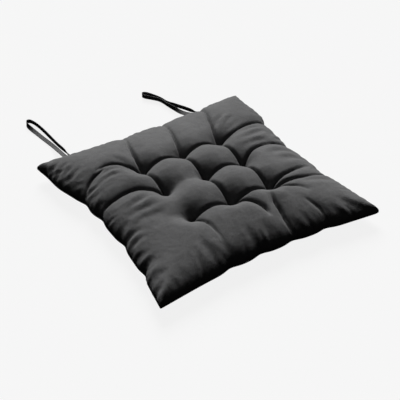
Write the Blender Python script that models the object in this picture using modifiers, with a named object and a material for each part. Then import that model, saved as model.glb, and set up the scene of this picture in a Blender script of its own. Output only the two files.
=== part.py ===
"""Tufted chair seat pad: two fabric panels sewn round a fibre filling, nine
tufts pulled through it, and two tape loops that tie it to a chair.

Blender 4.5, metres, +Z up. The origin is on the surface that the pad lies on,
under the middle of its square. -Y is the front of the seat and +Y its back.
"""
import math

import bmesh
import bpy
from mathutils import Vector

# Pad
PAD_SIZE = 0.400  # corner to corner, both ways
SEAM_Z = 0.0175  # height of the edge seam
PULL_LEFT = 0.024  # how far the middle of each edge is drawn in
PULL_RIGHT = 0.020
PULL_FRONT = 0.018
PULL_BACK = 0.012
TOP_CROWN = 0.046  # height of the top panel over the seam, before the tufts
BOTTOM_CROWN = 0.027  # the same downwards, before it is laid flat
CROWN_POWER = 3.2  # how square the crown is
EDGE_POWER = 0.52  # how steeply it leaves the seam

# Tufts, three rows of three
TUFT_PITCH = 0.073
TUFT_SHIFT_Y = -0.0075  # the rows sit a little towards the front
TUFT_TOP_Z = 0.026
TUFT_BOTTOM_Z = 0.011
TUFT_FLAT = 0.0044  # half-width of the flat at the foot of a tuft
FLAT_MARGIN = 1.3  # the flat reaches this far past its grid lines
DIP_REACH = 0.030
DIP_POWER = 1.6
SHANK_R = 0.0008
BAR_R = 0.0007
BAR_LENGTH = 0.0060
HOLE_LENGTH = 0.100  # of the cutters, longer than the pad is thick

# Cloth, thread and tape
FABRIC = 0.0010
GAP = 0.0003  # between pieces that touch
THREAD_R = 0.0002
SEAM_GAP = 2 * (THREAD_R + GAP)  # the two panels stand this far apart
SEAM_INSET = 0.0045  # share of the half size, from the edge to the thread
SEAM_TURN = 0.985  # u and v where the stitching turns a corner
OPENING_HALF = 0.075  # the closed filling opening, in the middle of the back
OPENING_CLEAR = 0.02  # in u: the seam's next point is at least this far from the opening
CLOSING_SHORT = 0.01  # in u: the closing thread stops this far short of the seam's
CLOSING_STEPS = 5  # points of the closing thread on each side of its middle
TRIM_SIZE = 0.5  # the blocks that trim the panels at the seam
TRIM_HEIGHT = 0.03
BARTACK_LENGTH = 0.010
BARTACK_DEPTH = 0.0010
BARTACK_INSET = 0.0024
BARTACK_TURNS = 8
TAPE_WIDTH = 0.0080
TAPE_THICK = 0.0008
HINGE_OUT = 0.0020  # the loop turns about a line this far outside the seam

# Grid that shapes the panels
CELLS_TO_EDGE = 6
CELLS_BETWEEN_TUFTS = 3
EDGE_CROWDING = 1.5
SKIRT = 0.004
SHARP_EDGE = math.radians(50)

HALF = PAD_SIZE / 2
TOP, BOTTOM = 1, -1
TUFT_STEPS = (-1, 0, 1)
ROWS = {-1: "front", 0: "middle", 1: "back"}
COLUMNS = {-1: "left", 0: "centre", 1: "right"}

# Routes of the tape loops, from one sewn end to the other. Each point is x, y,
# the clearance under the tape, and its lean in degrees: 0 lies flat and 90
# stands on its edge. The tape leaves the seam flat, sinks to the surface, and
# the far run comes back on its edge.
LOOP_ROUTES = {
    "left": [
        (-0.1432, 0.1955, 0.0163, 0),
        (-0.1430, 0.2080, 0.0146, 0),
        (-0.1420, 0.2240, 0.0110, 0),
        (-0.1403, 0.2460, 0.0056, 5),
        (-0.1398, 0.2670, 0.0018, 8),
        (-0.1411, 0.2850, 0.0004, 8),
        (-0.1432, 0.3010, 0.0002, 8),
        (-0.1453, 0.3170, 0.0002, 12),
        (-0.1480, 0.3320, 0.0002, 30),
        (-0.1498, 0.3440, 0.0002, 60),
        (-0.1490, 0.3530, 0.0002, 85),
        (-0.1450, 0.3585, 0.0002, 90),
        (-0.1402, 0.3565, 0.0002, 90),
        (-0.1368, 0.3480, 0.0002, 90),
        (-0.1347, 0.3355, 0.0002, 92),
        (-0.1334, 0.3200, 0.0002, 95),
        (-0.1328, 0.3050, 0.0002, 95),
        (-0.1324, 0.2890, 0.0002, 95),
        (-0.1322, 0.2740, 0.0004, 92),
        (-0.1323, 0.2580, 0.0018, 90),
        (-0.1330, 0.2410, 0.0050, 88),
        (-0.1346, 0.2230, 0.0096, 75),
        (-0.1362, 0.2080, 0.0148, 35),
        (-0.1376, 0.1955, 0.0180, 0),
    ],
    "right": [
        (0.1078, 0.1940, 0.0163, 0),
        (0.1060, 0.2020, 0.0148, 0),
        (0.1025, 0.2095, 0.0122, 10),
        (0.1002, 0.2170, 0.0090, 25),
        (0.0988, 0.2310, 0.0045, 45),
        (0.0976, 0.2470, 0.0018, 65),
        (0.0957, 0.2615, 0.0006, 80),
        (0.0940, 0.2727, 0.0002, 90),
        (0.0926, 0.2836, 0.0002, 90),
        (0.0900, 0.2920, 0.0002, 90),
        (0.0855, 0.2992, 0.0002, 90),
        (0.0793, 0.3074, 0.0002, 90),
        (0.0740, 0.3142, 0.0002, 90),
        (0.0720, 0.3212, 0.0002, 90),
        (0.0750, 0.3255, 0.0002, 90),
        (0.0798, 0.3235, 0.0002, 90),
        (0.0842, 0.3170, 0.0002, 90),
        (0.0887, 0.3075, 0.0002, 90),
        (0.0922, 0.2988, 0.0002, 90),
        (0.0950, 0.2895, 0.0002, 90),
        (0.0970, 0.2773, 0.0002, 90),
        (0.1000, 0.2676, 0.0008, 90),
        (0.1034, 0.2586, 0.0020, 88),
        (0.1069, 0.2464, 0.0037, 86),
        (0.1100, 0.2337, 0.0060, 85),
        (0.1128, 0.2155, 0.0098, 80),
        (0.1147, 0.2035, 0.0148, 35),
        (0.1152, 0.1940, 0.0180, 0),
    ],
}
ROUTE_STEPS = 2  # points read from the smooth curve between two route points


def clear_scene():
    for thing in list(bpy.data.objects):
        bpy.data.objects.remove(thing)


def make_collection(name, hidden=False):
    group = bpy.data.collections.new(name)
    bpy.context.scene.collection.children.link(group)
    group.hide_render = hidden
    return group


def make_material(name, colour, roughness):
    material = bpy.data.materials.new(name)
    material.use_nodes = True
    shader = material.node_tree.nodes["Principled BSDF"]
    shader.inputs["Base Color"].default_value = (*colour, 1.0)
    shader.inputs["Roughness"].default_value = roughness
    shader.inputs["Metallic"].default_value = 0.0
    return material


def add_object(name, data, group, parent=None, material=None, at=(0, 0, 0)):
    thing = bpy.data.objects.new(name, data)
    group.objects.link(thing)
    thing.parent = parent
    thing.location = at
    if material:
        data.materials.append(material)
    return thing


def mesh_from(bm, name):
    bmesh.ops.recalc_face_normals(bm, faces=bm.faces)
    mesh = bpy.data.meshes.new(name)
    bm.to_mesh(mesh)
    bm.free()
    return mesh


# Shape of the pad. A point of the pad is named by u and v, from -1 to 1
# across the square and from its front to its back.


def plan(u, v):
    """Where the point is, seen from above."""
    pull_x = PULL_LEFT if u < 0 else PULL_RIGHT
    pull_y = PULL_FRONT if v < 0 else PULL_BACK
    x = HALF * u - pull_x * u**3 * (1 - v * v)
    y = HALF * v - pull_y * v**3 * (1 - u * u)
    return x, y


def tuft_places():
    """(column, row) of each tuft and its place seen from above."""
    return {
        (i, j): (i * TUFT_PITCH, j * TUFT_PITCH + TUFT_SHIFT_Y)
        for j in TUFT_STEPS
        for i in TUFT_STEPS
    }


def crown(u, v):
    return ((1 - abs(u) ** CROWN_POWER) * (1 - abs(v) ** CROWN_POWER)) ** EDGE_POWER


def height(u, v, side):
    """Height of one panel's outer face."""
    rise = (TOP_CROWN if side == TOP else BOTTOM_CROWN) * crown(u, v)
    foot = abs((TUFT_TOP_Z if side == TOP else TUFT_BOTTOM_Z) - SEAM_Z)
    x, y = plan(u, v)
    dips = 0.0
    for tuft_x, tuft_y in tuft_places().values():
        away_x, away_y = abs(x - tuft_x), abs(y - tuft_y)
        if max(away_x, away_y) < FLAT_MARGIN * TUFT_FLAT:
            return SEAM_Z + side * foot
        away = math.hypot(away_x, away_y)
        dips += math.exp(-((away / DIP_REACH) ** DIP_POWER))
    rise -= dips * (rise - foot)
    return max(SEAM_Z + side * rise, 0.0)


def grid_lines(shift=0.0):
    """Where the grid is cut one way: close at the edges, two lines a tuft."""
    flat = TUFT_FLAT / HALF
    tufts = [(step * TUFT_PITCH + shift) / HALF for step in TUFT_STEPS]
    margins = [(k / CELLS_TO_EDGE) ** EDGE_CROWDING for k in range(CELLS_TO_EDGE)]
    lines = [-1 + m * (tufts[0] - flat + 1) for m in margins]
    for here, after in zip(tufts, tufts[1:] + [None]):
        lines += [here - flat, here + flat]
        if after is not None:
            step = (after - here - 2 * flat) / CELLS_BETWEEN_TUFTS
            lines += [here + flat + step * k for k in range(1, CELLS_BETWEEN_TUFTS)]
    return lines + [1 - m * (1 - tufts[-1] - flat) for m in reversed(margins)]


LINES_U = grid_lines()
LINES_V = grid_lines(TUFT_SHIFT_Y)
CELLS = len(LINES_U) - 1


def add_sheet(bm, side):
    """Add one panel's outer face as an open sheet; returns its vertices."""
    made = bmesh.ops.create_grid(bm, x_segments=CELLS, y_segments=CELLS, size=1.0)
    crossings = {}
    for vertex in made["verts"]:
        i, j = (round((c + 1) / 2 * CELLS) for c in vertex.co[:2])
        u, v = LINES_U[i], LINES_V[j]
        vertex.co = Vector((*plan(u, v), height(u, v, side)))
        crossings[i, j] = vertex
    for i, next_i in ((0, 1), (CELLS, CELLS - 1)):
        for j, next_j in ((0, 1), (CELLS, CELLS - 1)):
            ridge = [crossings[i, j], crossings[next_i, next_j]]
            bmesh.ops.connect_verts(bm, verts=ridge)
    if side == BOTTOM:
        faces = {face for vertex in made["verts"] for face in vertex.link_faces}
        bmesh.ops.reverse_faces(bm, faces=list(faces))
    bm.normal_update()
    return made["verts"]


def boundary(verts):
    return [e for e in {e for v in verts for e in v.link_edges} if e.is_boundary]


def cylinder(bm, radius, length, at, along_x=False, segments=8):
    made = bmesh.ops.create_cone(
        bm,
        cap_ends=True,
        segments=segments,
        radius1=radius,
        radius2=radius,
        depth=length,
    )
    if along_x:
        turn = Vector((0, 0, 1)).rotation_difference(Vector((1, 0, 0))).to_matrix()
        bmesh.ops.rotate(bm, verts=made["verts"], matrix=turn)
    bmesh.ops.translate(bm, verts=made["verts"], vec=at)


def cut(thing, cutter, operation="DIFFERENCE"):
    modifier = thing.modifiers.new(cutter.name, "BOOLEAN")
    modifier.object = cutter
    modifier.operation = operation
    modifier.solver = "EXACT"


def add_cutter(name, mesh, group, parent):
    cutter = add_object(name, mesh, group, parent)
    cutter.display_type = "WIRE"
    cutter.hide_render = True
    return cutter


def tuft_hole_cutter(group, parent):
    """Nine needle holes through the whole pad."""
    bm = bmesh.new()
    for x, y in tuft_places().values():
        cylinder(bm, SHANK_R + GAP, HOLE_LENGTH, (x, y, SEAM_Z))
    return add_cutter("tuft_hole_cutter", mesh_from(bm, "tuft_hole_cutter"), group, parent)


def seam_cutter(side, group, parent):
    """A block on the far side of the seam plane, which trims a panel's skirt."""
    name = "trim_below_top" if side == TOP else "trim_above_bottom"
    bm = bmesh.new()
    bmesh.ops.create_cube(bm, size=1.0)
    bmesh.ops.scale(bm, verts=bm.verts, vec=(TRIM_SIZE, TRIM_SIZE, TRIM_HEIGHT))
    middle = SEAM_Z + side * (SEAM_GAP - TRIM_HEIGHT) / 2
    bmesh.ops.translate(bm, verts=bm.verts, vec=(0, 0, middle))
    return add_cutter(name, mesh_from(bm, name), group, parent)


def panel(name, side, group, cutters, parent, material, holes):
    """One fabric panel: a sheet with a skirt, thickened and trimmed."""
    bm = bmesh.new()
    verts = add_sheet(bm, side)
    made = bmesh.ops.extrude_edge_only(bm, edges=boundary(verts))
    skirt = [item for item in made["geom"] if isinstance(item, bmesh.types.BMVert)]
    bmesh.ops.translate(bm, verts=skirt, vec=(0, 0, -side * SKIRT))
    bm.normal_update()
    mesh = bpy.data.meshes.new(name)
    bm.to_mesh(mesh)
    bm.free()
    thing = add_object(name, mesh, group, parent, material)
    shell = thing.modifiers.new("fabric", "SOLIDIFY")
    shell.thickness = FABRIC
    shell.offset = -1.0
    shell.use_even_offset = True
    cut(thing, holes)
    cut(thing, seam_cutter(side, cutters, parent))
    mesh.shade_smooth()
    mesh.set_sharp_from_angle(angle=SHARP_EDGE)
    return thing


def filling(group, parent, material, holes):
    """The fibre, one layer of cloth inside the panels and short of the seam."""
    bm = bmesh.new()
    rims = []
    for side in (TOP, BOTTOM):
        verts = add_sheet(bm, side)
        drops = {
            v: (FABRIC + GAP) * max(1 / abs(f.normal.z) for f in v.link_faces)
            for v in verts
        }
        for vertex, drop in drops.items():
            vertex.co.z -= side * drop
        outer = [v for v in verts if v.is_boundary]
        bmesh.ops.delete(bm, geom=outer, context="VERTS")
        rims += boundary([v for v in verts if v.is_valid])
    bmesh.ops.bridge_loops(bm, edges=rims)
    thing = add_object("filling", mesh_from(bm, "filling"), group, parent, material)
    cut(thing, holes)
    return thing


def tuft(column, row, group, cutters, parent, material):
    """A thread through the pad with a short bar stitch at each end."""
    name = f"tuft_{ROWS[row]}_{COLUMNS[column]}"
    x, y = tuft_places()[column, row]
    top = TUFT_TOP_Z + GAP + BAR_R
    bottom = TUFT_BOTTOM_Z - GAP - BAR_R
    bm = bmesh.new()
    cylinder(bm, SHANK_R, top - bottom, (x, y, (top + bottom) / 2))
    stitch = add_object(name, mesh_from(bm, name), group, parent, material)
    for end, z in (("top", top), ("bottom", bottom)):
        bm = bmesh.new()
        cylinder(bm, BAR_R, BAR_LENGTH, (x, y, z), along_x=True)
        bar_name = f"{name}_{end}_bar"
        bar = add_cutter(bar_name, mesh_from(bm, bar_name), cutters, parent)
        cut(stitch, bar, "UNION")
    return stitch


def wire(name, points, group, parent, material, at=(0, 0, 0), radius=THREAD_R):
    """A round thread through the points, with its ends capped."""
    curve = bpy.data.curves.new(name, "CURVE")
    curve.dimensions = "3D"
    curve.bevel_depth = radius
    curve.bevel_resolution = 1
    curve.use_fill_caps = True
    spline = curve.splines.new("POLY")
    spline.points.add(len(points) - 1)
    for place, point in zip(spline.points, points):
        place.co = (*(Vector(point) - Vector(at)), 1.0)
    return add_object(name, curve, group, parent, material, at)


def seam_point(u, v):
    x, y = plan(u, v)
    return x * (1 - SEAM_INSET), y * (1 - SEAM_INSET), SEAM_Z


def seam_threads(group, parent, material):
    """The seam's thread round three sides, and the one that closes the back."""
    u_lines = LINES_U[2:-2:2]
    v_lines = LINES_V[2:-2:2]
    opening = OPENING_HALF / HALF
    back = [u for u in reversed(u_lines) if abs(u) > opening + OPENING_CLEAR]
    turn = SEAM_TURN
    route = [(-opening, 1)] + [(u, 1) for u in back if u < 0] + [(-turn, turn)]
    route += [(-1, v) for v in reversed(v_lines)] + [(-turn, -turn)]
    route += [(u, -1) for u in u_lines] + [(turn, -turn)]
    route += [(1, v) for v in v_lines] + [(turn, turn)]
    route += [(u, 1) for u in back if u > 0] + [(opening, 1)]
    wire("seam_thread", [seam_point(u, v) for u, v in route], group, parent, material)
    inner = opening - CLOSING_SHORT
    steps = range(-CLOSING_STEPS, CLOSING_STEPS + 1)
    closing = [(inner * k / CLOSING_STEPS, 1) for k in steps]
    wire("closing_thread", [seam_point(u, v) for u, v in closing], group, parent, material)


def loop_middle(route):
    """Where the two sewn ends of a loop meet the seam, along X."""
    return (route[0][0] + route[-1][0]) / 2


def back_edge(x):
    u = x / HALF
    return plan(u, 1)[1]


def bartack(side, group, parent, material):
    """A close zigzag of thread that locks a loop's ends into the seam."""
    middle = loop_middle(LOOP_ROUTES[side])
    points = []
    for k in range(2 * BARTACK_TURNS + 1):
        x = middle + BARTACK_LENGTH * (k / (2 * BARTACK_TURNS) - 0.5)
        sway = BARTACK_DEPTH / 2 * (1 if k % 2 else -1)
        points.append((x, back_edge(x) - BARTACK_INSET + sway, SEAM_Z))
    return wire(f"bartack_{side}", points, group, parent, material)


def smooth_route(route):
    """Points read from a smooth curve through the route's own points."""
    knots = [Vector(point) for point in route]
    knots = [2 * knots[0] - knots[1]] + knots + [2 * knots[-1] - knots[-2]]
    points = []
    for before, start, end, after in zip(knots, knots[1:], knots[2:], knots[3:]):
        for step in range(ROUTE_STEPS):
            t = step / ROUTE_STEPS
            bend = 2 * before - 5 * start + 4 * end - after
            twist = 3 * start - before - 3 * end + after
            points.append(start + ((end - before) * t + bend * t**2 + twist * t**3) / 2)
    return points + [knots[-2]]


def tape_loop(side, group, root, material):
    """A flat woven tape, folded in half, with both ends at the seam."""
    route = [(x, y, lift, math.radians(lean)) for x, y, lift, lean in LOOP_ROUTES[side]]
    middle = loop_middle(route)
    hinge_at = Vector((middle, back_edge(middle) + HINGE_OUT, SEAM_Z))
    hinge = add_object(f"tie_hinge_{side}", None, group, root, at=hinge_at)
    name = f"tie_loop_{side}"
    curve = bpy.data.curves.new(name, "CURVE")
    curve.dimensions = "3D"
    curve.twist_mode = "Z_UP"
    curve.extrude = (TAPE_WIDTH - TAPE_THICK) / 2
    curve.bevel_depth = TAPE_THICK / 2
    curve.bevel_resolution = 0
    curve.use_fill_caps = True
    points = smooth_route(route)
    spline = curve.splines.new("POLY")
    spline.points.add(len(points) - 1)
    for place, (x, y, lift, lean) in zip(spline.points, points):
        half_high = TAPE_WIDTH / 2 * abs(math.sin(lean)) + TAPE_THICK / 2 * abs(math.cos(lean))
        place.co = (*(Vector((x, y, lift + half_high)) - hinge_at), 1.0)
        place.tilt = math.pi / 2 - lean
    return add_object(name, curve, group, hinge, material)


def main():
    clear_scene()
    group = make_collection("chair_seat_pad")
    cutters = make_collection("cutters", hidden=True)
    cloth = make_material("cover_fabric", (0.045, 0.045, 0.046), 0.9)
    fibre = make_material("polyester_fibre", (0.75, 0.75, 0.73), 0.95)
    thread = make_material("sewing_thread", (0.02, 0.02, 0.021), 0.7)
    tape = make_material("woven_tape", (0.03, 0.03, 0.031), 0.85)
    root = add_object("seat_pad", None, group)
    holes = tuft_hole_cutter(cutters, root)
    panel("cover_top", TOP, group, cutters, root, cloth, holes)
    panel("cover_bottom", BOTTOM, group, cutters, root, cloth, holes)
    filling(group, root, fibre, holes)
    for column, row in tuft_places():
        tuft(column, row, group, cutters, root, thread)
    seam_threads(group, root, thread)
    for side in LOOP_ROUTES:
        tape_loop(side, group, root, tape)
        bartack(side, group, root, thread)


main()
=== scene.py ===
"""A tufted chair seat pad: its cover, filling, stitches and tape loops, on a pale floor.

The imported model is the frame. The studio comes first, then the loops, then the
pad. Lengths are in metres. -Y is the front of the seat and +Y its back.
"""
import logging
import math
from dataclasses import dataclass, field
from enum import Enum

import bmesh
import bpy
import numpy as np
from mathutils import Matrix, Vector


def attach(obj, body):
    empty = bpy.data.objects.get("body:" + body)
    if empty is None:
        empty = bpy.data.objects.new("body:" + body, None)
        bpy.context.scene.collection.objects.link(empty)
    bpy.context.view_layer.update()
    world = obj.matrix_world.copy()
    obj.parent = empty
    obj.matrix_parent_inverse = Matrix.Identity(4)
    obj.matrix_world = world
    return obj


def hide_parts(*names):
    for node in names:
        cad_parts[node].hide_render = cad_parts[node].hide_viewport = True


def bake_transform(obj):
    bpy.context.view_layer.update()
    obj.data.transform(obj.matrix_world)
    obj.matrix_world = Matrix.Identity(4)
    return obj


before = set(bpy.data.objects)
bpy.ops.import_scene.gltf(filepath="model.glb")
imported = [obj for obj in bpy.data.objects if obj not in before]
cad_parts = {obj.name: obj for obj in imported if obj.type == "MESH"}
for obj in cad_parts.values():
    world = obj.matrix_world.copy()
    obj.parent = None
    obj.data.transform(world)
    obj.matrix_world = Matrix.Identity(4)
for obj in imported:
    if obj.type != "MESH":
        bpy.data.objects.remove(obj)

log = logging.getLogger("seat_pad")
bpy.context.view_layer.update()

PAD_BODY = "pad"
CLOTH_UV = "cloth"
TAPE_UV = "tape"

# How near points are to be merged, and the least share that a root is taken of.
WELD = 1e-6
LEAST_SHARE = 1e-6

Point = tuple[float, float]
Route = tuple[tuple[float, float, float, float], ...]
Array = np.ndarray


class Side(Enum):
    """The two faces of the pad; the value is the way the face looks along Z."""

    TOP = 1
    BOTTOM = -1


# ---------------------------------------------------------------- studio


@dataclass
class Studio:
    """The camera, the pale floor and the soft lights."""

    target: Vector = Vector((-0.0205, -0.0233, 0.0200))
    distance: float = 1.6666
    azimuth: float = math.radians(-32.09)
    elevation: float = math.radians(37.63)
    roll: float = math.radians(-0.726)
    lens: float = 94.2
    floor_size: float = 80.0
    floor_drop: float = 0.0008
    floor_shade: float = 0.05
    floor_roughness: float = 0.9
    floor_glow: float = 0.86
    surround: float = 0.014

    def build(self) -> None:
        """Make the camera, the floor and the lights."""
        self.add_camera()
        self.add_floor()
        self.add_world()
        self.add_sun("key_light", toward=(0.44, 0.80, 0.62), softness=30.0, power=6.8)
        self.add_sun("top_light", toward=(-0.30, 0.10, 1.00), softness=60.0, power=0.05)
        bpy.context.scene.view_settings.view_transform = "Standard"

    def view_axes(self) -> tuple[Vector, Vector, Vector]:
        """Give the camera's axes.

        Returns:
            The directions to the right, up, and back towards the camera.
        """
        flat = math.cos(self.elevation)
        back = Vector((
            math.sin(self.azimuth) * flat,
            -math.cos(self.azimuth) * flat,
            math.sin(self.elevation),
        ))
        level = Vector((math.cos(self.azimuth), math.sin(self.azimuth), 0.0))
        upright = back.cross(level)
        right = level * math.cos(self.roll) + upright * math.sin(self.roll)
        up = upright * math.cos(self.roll) - level * math.sin(self.roll)
        return right, up, back

    def add_camera(self) -> None:
        """Make the camera and look through it."""
        right, up, back = self.view_axes()
        data = bpy.data.cameras.new("camera")
        data.lens = self.lens
        camera = bpy.data.objects.new("camera", data)
        bpy.context.scene.collection.objects.link(camera)
        turn = Matrix((right, up, back)).transposed().to_4x4()
        camera.matrix_world = Matrix.Translation(self.target + back * self.distance) @ turn
        bpy.context.scene.camera = camera

    def add_floor(self) -> None:
        """Lay a plain floor just under the pad, which glows so that it stays pale in the pad's shadow."""
        bpy.ops.mesh.primitive_plane_add(size=self.floor_size, location=(0, 0, -self.floor_drop))
        floor = bpy.context.object
        floor.name = "floor"
        paint = bpy.data.materials.new("pale_floor")
        paint.use_nodes = True
        shader = paint.node_tree.nodes["Principled BSDF"]
        shade = self.floor_shade
        shader.inputs["Base Color"].default_value = (shade, shade, shade, 1.0)
        shader.inputs["Roughness"].default_value = self.floor_roughness
        shader.inputs["Specular IOR Level"].default_value = 0.0
        shader.inputs["Emission Color"].default_value = (1.0, 1.0, 1.0, 1.0)
        shader.inputs["Emission Strength"].default_value = self.floor_glow
        floor.data.materials.append(paint)
        floor.visible_diffuse = False
        floor.visible_glossy = False

    def add_world(self) -> None:
        """Fill the shadows with an even white surround."""
        world = bpy.data.worlds.new("surround")
        world.use_nodes = True
        background = world.node_tree.nodes["Background"]
        background.inputs["Color"].default_value = (1.0, 1.0, 1.0, 1.0)
        background.inputs["Strength"].default_value = self.surround
        bpy.context.scene.world = world

    def add_sun(
        self, name: str, toward: tuple[float, float, float], softness: float, power: float
    ) -> None:
        """Add an even soft light.

        Args:
            name: The light's name.
            toward: The direction that it comes from.
            softness: How wide it looks from the pad, in degrees.
            power: Its strength on a surface that faces it.
        """
        data = bpy.data.lights.new(name, "SUN")
        data.angle = math.radians(softness)
        data.energy = power
        light = bpy.data.objects.new(name, data)
        bpy.context.scene.collection.objects.link(light)
        light.rotation_euler = Vector(toward).to_track_quat("Z", "Y").to_euler()


# ---------------------------------------------------------------- finishes


class Wiring:
    """A new material and the few steps that wire its nodes."""

    def __init__(self, name: str) -> None:
        """Start a material with a plain shader.

        Args:
            name: The material's name.
        """
        self.material = bpy.data.materials.new(name)
        self.material.use_nodes = True
        self.tree = self.material.node_tree
        self.shader = self.tree.nodes["Principled BSDF"]

    def node(self, kind: str, **settings: object) -> bpy.types.Node:
        """Add a node.

        Args:
            kind: Its type, without the common beginning.
            settings: Its properties.

        Returns:
            The new node.
        """
        made = self.tree.nodes.new("ShaderNode" + kind)
        for name, value in settings.items():
            setattr(made, name, value)
        return made

    def feed(self, socket: bpy.types.NodeSocket, value: object) -> None:
        """Link a socket to an output, or set it to a value.

        Args:
            socket: The input socket.
            value: A node's output, or a plain value.
        """
        if isinstance(value, bpy.types.NodeSocket):
            self.tree.links.new(value, socket)
        else:
            socket.default_value = value

    def dress(self, inputs: dict[str, object]) -> None:
        """Feed the shader's own sockets, by their names."""
        for name, value in inputs.items():
            self.feed(self.shader.inputs[name], value)

    def place(self) -> bpy.types.NodeSocket:
        """Give the place on the object."""
        return self.node("TexCoord").outputs["Object"]

    def sum(self, operation: str, *values: object) -> bpy.types.NodeSocket:
        """Work out a number from others.

        Args:
            operation: What to do with them.
            values: Outputs or plain numbers.

        Returns:
            The result.
        """
        made = self.node("Math", operation=operation)
        for socket, value in zip(made.inputs, values):
            self.feed(socket, value)
        return made.outputs[0]

    def weighed(self, *parts: tuple[object, float]) -> bpy.types.NodeSocket:
        """Add numbers up, each times its weight.

        Args:
            parts: The numbers and their weights.

        Returns:
            The total.
        """
        total = self.sum("MULTIPLY", *parts[0])
        for part in parts[1:]:
            total = self.sum("ADD", total, self.sum("MULTIPLY", *part))
        return total

    def noise(
        self, where: bpy.types.NodeSocket, scale: float, detail: float = 2.0
    ) -> bpy.types.NodeSocket:
        """Read a noise at a place.

        Args:
            where: The place.
            scale: How fine the noise is.
            detail: How many finer noises lie on it.

        Returns:
            The noise, around a half.
        """
        made = self.node("TexNoise")
        self.feed(made.inputs["Vector"], where)
        made.inputs["Scale"].default_value = scale
        made.inputs["Detail"].default_value = detail
        return made.outputs["Fac"]

    def mapped(
        self, where: bpy.types.NodeSocket, scale: tuple[float, float, float]
    ) -> bpy.types.NodeSocket:
        """Stretch a place's coordinates.

        Args:
            where: The place.
            scale: What each coordinate is multiplied by.

        Returns:
            The stretched place.
        """
        made = self.node("Mapping")
        self.feed(made.inputs["Vector"], where)
        made.inputs["Scale"].default_value = scale
        return made.outputs["Vector"]

    def blend(
        self, share: object, low: tuple[float, ...], high: tuple[float, ...]
    ) -> bpy.types.NodeSocket:
        """Mix two colours.

        Args:
            share: How much of the second there is.
            low: The first colour.
            high: The second colour.

        Returns:
            The mixed colour.
        """
        made = self.node("Mix", data_type="RGBA")
        self.feed(made.inputs["Factor"], share)
        made.inputs["A"].default_value = (*low, 1.0)
        made.inputs["B"].default_value = (*high, 1.0)
        return made.outputs["Result"]

    def range(self, value: bpy.types.NodeSocket, low: float, high: float) -> bpy.types.NodeSocket:
        """Turn a share into a number.

        Args:
            value: The share, from 0 to 1.
            low: The number for 0.
            high: The number for 1.

        Returns:
            The number.
        """
        made = self.node("MapRange")
        self.feed(made.inputs["Value"], value)
        made.inputs["To Min"].default_value = low
        made.inputs["To Max"].default_value = high
        return made.outputs["Result"]

    def bump(self, height: bpy.types.NodeSocket, strength: float, distance: float) -> None:
        """Raise the surface, on the shader.

        Args:
            height: The height, in shares of the distance.
            strength: How much of it shows.
            distance: The height of one, in metres.
        """
        made = self.node("Bump")
        made.inputs["Strength"].default_value = strength
        made.inputs["Distance"].default_value = distance
        self.feed(made.inputs["Height"], height)
        self.feed(self.shader.inputs["Normal"], made.outputs["Normal"])


# In the finishes below, a noise is its scale and its detail, and a relief is the
# strength and the height of a bump.


@dataclass(frozen=True)
class PlainWeave:
    """Charcoal cotton in a plain weave, faded a little where it is rubbed."""

    name: str = "charcoal_plain_weave"
    dark: tuple[float, float, float] = (0.046, 0.046, 0.047)
    light: tuple[float, float, float] = (0.100, 0.100, 0.101)
    threads: int = 620
    thread_round: float = 0.6
    slub_fineness: float = 0.9
    slub_length: float = 14.0
    fade_noise: tuple[float, float] = (9.0, 4.0)
    mottle_noise: tuple[float, float] = (80.0, 3.0)
    roughness: tuple[float, float] = (0.84, 0.98)
    gloss: float = 0.10
    sheen: float = 0.05
    sheen_roughness: float = 0.5
    weave_relief: float = 0.00006
    slack: float = 0.0011

    def material(self) -> bpy.types.Material:
        """Wire the weave on the piece's own UV map.

        Returns:
            The finished material.
        """
        w = Wiring(self.name)
        uv = w.node("UVMap", uv_map=CLOTH_UV).outputs["UV"]
        place = w.place()
        split = w.node("SeparateXYZ")
        w.feed(split.inputs["Vector"], w.mapped(uv, (self.threads, self.threads, 1)))
        across, along = split.outputs["X"], split.outputs["Y"]
        over_warp = w.sum("ABSOLUTE", w.sum("SINE", w.sum("MULTIPLY", across, math.pi)))
        over_weft = w.sum("ABSOLUTE", w.sum("SINE", w.sum("MULTIPLY", along, math.pi)))
        turn = w.sum("MODULO", w.sum("ADD", w.sum("FLOOR", across), w.sum("FLOOR", along)), 2.0)
        thread = w.node("Mix", data_type="FLOAT")
        for socket, value in zip(("Factor", "A", "B"), (turn, over_warp, over_weft)):
            w.feed(thread.inputs[socket], value)
        height = w.sum("POWER", thread.outputs["Result"], self.thread_round)
        fine = self.threads * self.slub_fineness
        slub_warp = w.noise(w.mapped(uv, (fine, self.slub_length, 1)), 1.0)
        slub_weft = w.noise(w.mapped(uv, (self.slub_length, fine, 1)), 1.0)
        slub = w.sum("MULTIPLY", w.sum("ADD", slub_warp, slub_weft), 0.5)
        fade = w.noise(place, *self.fade_noise)
        mottle = w.noise(place, *self.mottle_noise)
        uneven = w.sum("SUBTRACT", slub, 0.5)
        crown = w.sum("SUBTRACT", height, 0.6)
        share = w.weighed((fade, 0.60), (mottle, 0.55), (uneven, 0.7), (crown, 0.35))
        w.dress({
            "Base Color": w.blend(share, self.dark, self.light),
            "Roughness": w.range(slub, *self.roughness),
            "Specular IOR Level": self.gloss,
            "Sheen Weight": self.sheen,
            "Sheen Roughness": self.sheen_roughness,
        })
        weave = w.sum("ADD", height, w.sum("MULTIPLY", slub, 0.8))
        w.bump(w.weighed((weave, self.weave_relief), (mottle, self.slack)), 1.0, 1.0)
        return w.material


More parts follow.
